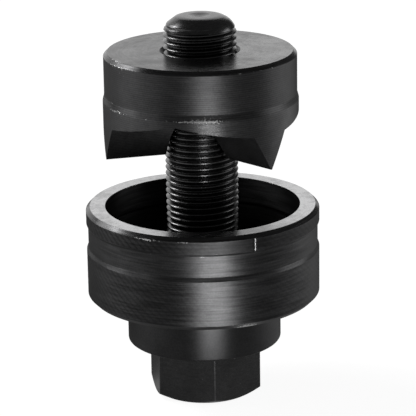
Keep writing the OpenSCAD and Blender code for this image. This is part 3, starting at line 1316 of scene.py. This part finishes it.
@dataclass
class ThrustBearing:
    """The shrouded ball bearing between the hex and the die.

    Attributes:
        wall: Wall of the shroud.
        lip: Width of the lip turned in under the lower race.
        rounding: Radius on the shroud's outer edges.
        columns: Grid columns round the shroud.
        chips: Chipped stretches of the edges.
    """

    wall: float = 1.2
    lip: float = 1.4
    rounding: float = 0.5
    columns: int = 180
    chips: tuple[Chip, ...] = (Chip(1, Stretch(-62.0, 14.0, 0.3)),)

    def build(self) -> bpy.types.Object:
        """The shroud's section turned round the axis.

        Returns:
            The shroud.
        """
        low, high = box_of("bearing_shroud")
        outer, foot, top = high[0], low[2], high[2]
        inner = outer - self.wall
        outline = turned_outline([
            Corner(inner - self.lip, foot, broken=0.1, rows=2),
            Corner(outer, foot, broken=self.rounding, rows=4),
            Corner(outer, top, broken=self.rounding),
            Corner(inner, top, broken=0.05, rows=3),
            Corner(inner, foot + self.wall, broken=0.2),
            Corner(inner - self.lip, foot + self.wall, broken=0.1),
        ])
        angle = np.linspace(0, 2 * np.pi, self.columns, endpoint=False)
        points = revolved(outline.radius[:, None], angle[None, :], outline.height[:, None])
        wear = edge_wear(points, outline.corner, self.chips)
        return lay_mesh("bearing_collar", points, {}, {"edge": wear})

    def dress(self, piece: bpy.types.Object) -> None:
        """Give the shroud a satin black finish, and the pieces inside it theirs.

        Args:
            piece: The shroud.
        """
        satin = BlackenedSteel("satin_black_shroud", pitch=0.3, streak=0.06)
        seat(piece, satin, Body.DIE, "bearing_shroud")
        race = PlainMetal("ground_race_steel", (0.42, 0.42, 0.43, 1.0), 0.28, 1.2).material()
        cage = PlainMetal("cage_brass", (0.62, 0.45, 0.18, 1.0), 0.35, 1.5).material()
        ball = PlainMetal("polished_ball_steel", (0.6, 0.6, 0.61, 1.0), 0.08, 0.9).material()
        finishes = {"bearing_upper_race": race, "bearing_lower_race": race, "ball_cage": cage}
        for node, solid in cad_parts.items():
            finish = ball if node.startswith("bearing_ball_") else finishes.get(node)
            if finish is not None:
                solid.data.materials.clear()
                solid.data.materials.append(finish)
                log.info("%s: keeps its solid", node)


@dataclass(frozen=True)
class SoftBox:
    """A rectangular studio lamp that faces the object.

    Attributes:
        name: Name of the lamp.
        direction: Direction from the object, from the X axis.
        elevation: Height above the horizon, as an angle.
        distance: Distance from the object.
        width: Width of the lamp.
        height: Height of the lamp.
        radiance: Brightness of its face.
        tip: Angle by which its face is tipped up from the object.
    """

    name: str
    direction: float
    elevation: float
    distance: float
    width: float
    height: float
    radiance: float
    tip: float = 0.0

    def hang(self, target: Vector) -> None:
        """Add the lamp to the scene, turned to a target and then tipped up.

        Args:
            target: The target, in metres.
        """
        turn, lift = math.radians(self.direction), math.radians(self.elevation)
        away = Vector((math.cos(turn) * math.cos(lift), math.sin(turn) * math.cos(lift), math.sin(lift)))
        lamp = bpy.data.lights.new(self.name, "AREA")
        lamp.shape = "RECTANGLE"
        lamp.size, lamp.size_y = self.width * MM, self.height * MM
        lamp.energy = self.radiance * math.pi * lamp.size * lamp.size_y
        holder = placed(self.name, lamp)
        holder.location = target + away * self.distance * MM
        tipped = Quaternion((1.0, 0.0, 0.0), math.radians(self.tip))
        holder.rotation_euler = ((-away).to_track_quat("-Z", "Y") @ tipped).to_euler()
        holder.visible_camera = False


@dataclass(frozen=True)
class Pool:
    """A painted pool of light: a stretch of floor that shows bright in the metal.

    Attributes:
        direction: Direction of its middle, from the X axis.
        narrowness: Power of the cosine by which it fades to its sides.
        brightness: What it adds to the floor in its middle.
        near: Whether it lies next to the object too, or only farther off.
    """

    direction: float
    narrowness: float
    brightness: float
    near: bool = False


@dataclass
class Studio:
    """Pale floor and backdrop, soft boxes and the photograph's camera.

    Attributes:
        reach: Half width and depth of the floor.
        backdrop_sides: Places of the backdrop's left and right edge.
        floor_gap: How far the floor lies below the hex, so that the two do not coincide.
        floor_gloss: Brightness at which metal shows the floor between its painted pools of light.
        painted_shadow_reach: Distances from the axis over which the far pools fade in: a painted shadow.
        pools: The painted pools of light.
        backdrop_gloss: Brightness at which metal shows the backdrop.
        paper_tone: Share of light that the paper throws onto the object.
        shadow_tones: Share of light that it adds to its glow, to the camera and in the metal.
        lamps: The soft boxes.
        surround: Brightness of the even surround.
        bend: Radius of the bend between floor and backdrop.
        bend_rows: Grid rows on that bend.
        wall: Height of the backdrop.
        camera_distance: Distance of the camera from its aim.
        camera_elevation: Elevation of the camera.
        aim_height: Height of its aim, and that of the lamps, on the axis.
        focal_pixels: Focal length in pixels of the photograph.
        axis_offset: Pixels by which the aim lies right of the photograph's middle, and below it.
        roll: Angle by which the photograph's upright leans to the left.
        clip: Nearest and farthest distance that the camera shows, in metres.
    """

    reach: float = 1300.0
    backdrop_sides: tuple[float, float] = (-1200.0, 430.0)
    floor_gap: float = 0.05
    floor_gloss: float = 0.05
    painted_shadow_reach: tuple[float, float] = (90.0, 310.0)
    pools: tuple[Pool, ...] = (
        Pool(184.0, 9.0, 0.22, near=True),
        Pool(-75.0, 0.7, 0.21, near=True),
        Pool(18.0, 9.0, 0.3, near=True),
        Pool(184.0, 3.5, 0.68),
        Pool(18.0, 9.0, 0.65),
    )
    backdrop_gloss: float = 1.0
    paper_tone: float = 0.8
    shadow_tones: tuple[float, float] = (0.3, 0.05)
    lamps: tuple[SoftBox, ...] = (
        SoftBox("front_card", -81.3, -19.3, 140.0, 52.0, 96.0, 17.0, tip=70.7),
        SoftBox("left_box", 150.0, 35.0, 1000.0, 420.0, 480.0, 4.6),
        SoftBox("left_core", 155.0, 38.0, 990.0, 110.0, 110.0, 20.0),
        SoftBox("left_card", 179.0, 9.0, 900.0, 440.0, 160.0, 5.0),
        SoftBox("side_card", 210.0, 12.0, 900.0, 320.0, 220.0, 1.6),
        SoftBox("right_box", 8.0, 14.0, 1100.0, 600.0, 480.0, 2.4),
    )
    surround: float = 0.09
    bend: float = 500.0
    bend_rows: int = 13
    wall: float = 1100.0
    camera_distance: float = 578.1
    camera_elevation: float = 17.15
    aim_height: float = 49.35
    focal_pixels: float = 2211.4
    axis_offset: tuple[float, float] = (-5.4, 0.69)
    roll: float = 0.95
    clip: tuple[float, float] = (0.01, 20.0)

    @property
    def aim(self) -> Vector:
        """Aim of the camera and the lamps on the axis, in metres."""
        return Vector((0.0, 0.0, self.aim_height * MM))

    def lay_sheet(
        self,
        name: str,
        sides: Sequence[float],
        depth: np.ndarray,
        rise: np.ndarray,
        paper: bpy.types.Material,
    ) -> None:
        """Lay a line of depths and heights, carried straight across.

        Args:
            name: Name of the sheet.
            sides: Places of its left and right edge.
            depth: Distances behind the object.
            rise: Heights above the floor.
            paper: Its material.
        """
        side = np.array(sides)
        height = rise - self.floor_gap
        points = np.stack(np.broadcast_arrays(side[None, :], depth[:, None], height[:, None]), axis=-1)
        index = np.arange(points.shape[0] * 2).reshape(-1, 2)
        quads = np.stack([index[:-1, 0], index[:-1, 1], index[1:, 1], index[1:, 0]], axis=1)
        mesh = smooth_mesh(name, points.reshape(-1, 3), quads.tolist())
        mesh.materials.append(paper)
        sheet = placed(name, mesh)

    def lay_floor(self) -> None:
        """Lay a pale floor, and behind it a backdrop that rises in a quarter round."""
        back = self.reach - self.bend
        lean = np.linspace(0, np.pi / 2, self.bend_rows)
        sides = (-self.reach, self.reach)
        self.lay_sheet("floor", sides, np.array([-self.reach, back]), np.zeros(2), self.floor_paper())
        depth = np.append(back + self.bend * np.sin(lean), self.reach)
        rise = np.append(self.bend * (1 - np.cos(lean)), self.wall)
        paper = self.paper(NodeSheet("backdrop_paper"), self.backdrop_gloss)
        self.lay_sheet("backdrop", self.backdrop_sides, depth, rise, paper)

    def floor_paper(self) -> bpy.types.Material:
        """Paper that metal shows dim, apart from the pools of light round the object.

        A painted pool's share is a power of the cosine of the angle from its middle. The share of a far pool
        also grows with the distance, so that metal shows the floor darker next to the object, as a painted
        shadow.

        Returns:
            The material.
        """
        sheet = NodeSheet("floor_paper")
        parts = sheet.parts()
        distance = sheet.from_axis(parts)
        # Painted shadow: far pools fade in with the distance from the axis
        far = sheet.ramp(distance, self.painted_shadow_reach[0] * MM, self.painted_shadow_reach[1] * MM, 0, 1)
        gloss: Source = self.floor_gloss
        for pool in self.pools:
            turn = math.radians(pool.direction)
            along = sheet.math("MULTIPLY", parts["X"], math.cos(turn))
            along = sheet.math("MULTIPLY_ADD", parts["Y"], math.sin(turn), along)
            cosine = sheet.math("MAXIMUM", sheet.math("DIVIDE", along, distance), 0.0)
            share = sheet.math("POWER", cosine, pool.narrowness)
            share = share if pool.near else sheet.math("MULTIPLY", share, far)
            gloss = sheet.math("MULTIPLY_ADD", share, pool.brightness, gloss)
        return self.paper(sheet, gloss)

    def paper(self, sheet: NodeSheet, gloss: Source) -> bpy.types.Material:
        """Pale paper that shows white to the camera and in the metal, and still takes the shadow.

        Args:
            sheet: The material's nodes so far.
            gloss: Brightness at which metal shows the paper.

        Returns:
            The material.
        """
        path = sheet.node("ShaderNodeLightPath", {}).outputs
        mirrored = sheet.math("MAXIMUM", path["Is Glossy Ray"], path["Is Transmission Ray"])
        seen = sheet.math("MAXIMUM", path["Is Camera Ray"], mirrored)
        more = sheet.math("SUBTRACT", gloss, WHITE_GLOW)
        strength = sheet.math("MULTIPLY_ADD", mirrored, more, WHITE_GLOW)
        tone = (self.paper_tone,) * 3 + (1.0,)
        paper = sheet.node("ShaderNodeBsdfDiffuse", {"Color": tone})
        shadow = sheet.ramp(mirrored, 0, 1, *self.shadow_tones)
        shade = sheet.node("ShaderNodeBsdfDiffuse", {"Color": shadow})
        glow = sheet.node("ShaderNodeEmission", {"Color": WHITE, "Strength": strength})
        shown = sheet.node("ShaderNodeAddShader", {0: shade.outputs[0], 1: glow.outputs[0]})
        mixed = sheet.node("ShaderNodeMixShader", {0: seen, 1: paper.outputs[0], 2: shown.outputs[0]})
        return sheet.finish(mixed)

    def light(self) -> None:
        """Hang the soft boxes and set a dim, even surround."""
        for lamp in self.lamps:
            lamp.hang(self.aim)
            log.info("%s: hung", lamp.name)
        world = bpy.data.worlds.new("dim_surround")
        world.use_nodes = True
        surround = world.node_tree.nodes["Background"]
        surround.inputs["Color"].default_value = WHITE
        surround.inputs["Strength"].default_value = self.surround
        bpy.context.scene.world = world

    def set_camera(self) -> None:
        """Stand the camera where the photograph was taken."""
        lift = math.radians(self.camera_elevation)
        away = Vector((0.0, -math.cos(lift), math.sin(lift)))
        lens = bpy.data.cameras.new("photo_camera")
        lens.sensor_width = SENSOR_WIDTH
        lens.lens = self.focal_pixels / PHOTO_PIXELS * SENSOR_WIDTH
        lens.shift_x = -self.axis_offset[0] / PHOTO_PIXELS
        lens.shift_y = self.axis_offset[1] / PHOTO_PIXELS
        lens.clip_start, lens.clip_end = self.clip
        camera = placed("photo_camera", lens)
        turn = (-away).to_track_quat("-Z", "Y").to_matrix().to_4x4()
        roll = Matrix.Rotation(math.radians(-self.roll), 4, "Z")
        camera.matrix_world = Matrix.Translation(self.aim + away * self.camera_distance * MM) @ turn @ roll
        bpy.context.scene.camera = camera

    def build(self) -> None:
        """Set floor, light, camera and the plain view transform."""
        self.lay_floor()
        self.light()
        self.set_camera()
        bpy.context.scene.view_settings.view_transform = "Standard"


def main() -> None:
    """Build and dress each sub-assembly, then the studio."""
    logging.basicConfig(level=logging.INFO, format="%(name)s: %(message)s")
    for assembly in (DrawStud(), ToothedPunch(), CupDie(), ThrustBearing()):
        assembly.dress(assembly.build())
    Studio().build()


if __name__ == "__main__":
    main()
